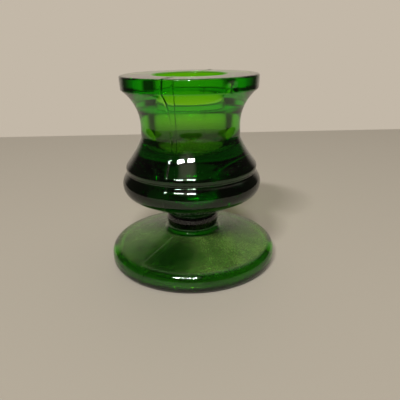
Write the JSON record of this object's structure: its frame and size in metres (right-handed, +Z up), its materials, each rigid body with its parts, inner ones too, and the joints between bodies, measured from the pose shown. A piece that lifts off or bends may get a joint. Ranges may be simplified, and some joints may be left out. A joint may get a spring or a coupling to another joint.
{
  "type": "glass candlestick",
  "caption": "Short turned glass candlestick: a ringed cup with a candle socket, joined by a wafer of glass to a round domed foot.",
  "frame": {"origin": "centre of the foot's resting plane", "axes": "+Z up along the axis of revolution, out of the candle socket"},
  "size_m": [0.0564, 0.0564, 0.062],
  "materials": {
    "cup_glass": "clear green pressed glass, fire-polished",
    "wafer_glass": "dark green glass, smooth",
    "foot_glass": "green pressed glass with a thin film of dust and fine scratches"
  },
  "bodies": {
    "root": {"candle_cup": "cup_glass", "neck_wafer": "wafer_glass", "foot": "foot_glass"}
  },
  "joints": []
}
